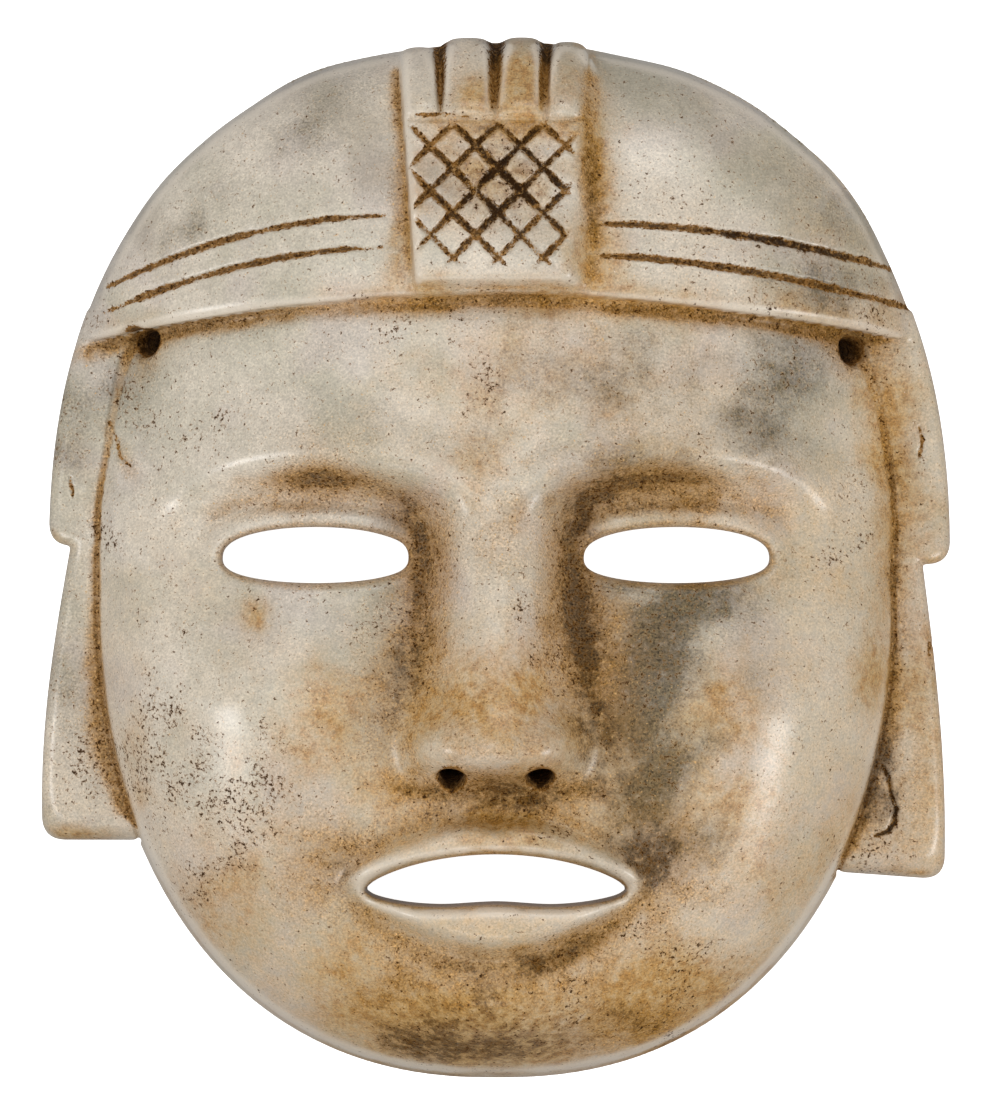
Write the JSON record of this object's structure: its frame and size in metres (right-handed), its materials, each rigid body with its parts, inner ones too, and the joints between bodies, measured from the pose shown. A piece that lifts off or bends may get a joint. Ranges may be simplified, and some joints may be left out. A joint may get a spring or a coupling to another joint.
{
  "type": "mask",
  "caption": "Hollow-backed carved jade mask with pierced eyes and mouth, headband with a brow tablet, side lappets, ear flanges and drilled cord holes.",
  "frame": {"origin": "middle of the footprint, on the plane of the flat back rim", "axes": "+X to the right of the face as seen from the front, +Y from chin to crown, +Z out of the face"},
  "size_m": [0.1572, 0.18, 0.0619],
  "materials": {
    "jade": "polished grey-green stone with ochre stains, pits and dark dirt in the cuts"
  },
  "bodies": {
    "root": {"jade_mask": "jade"}
  },
  "joints": []
}
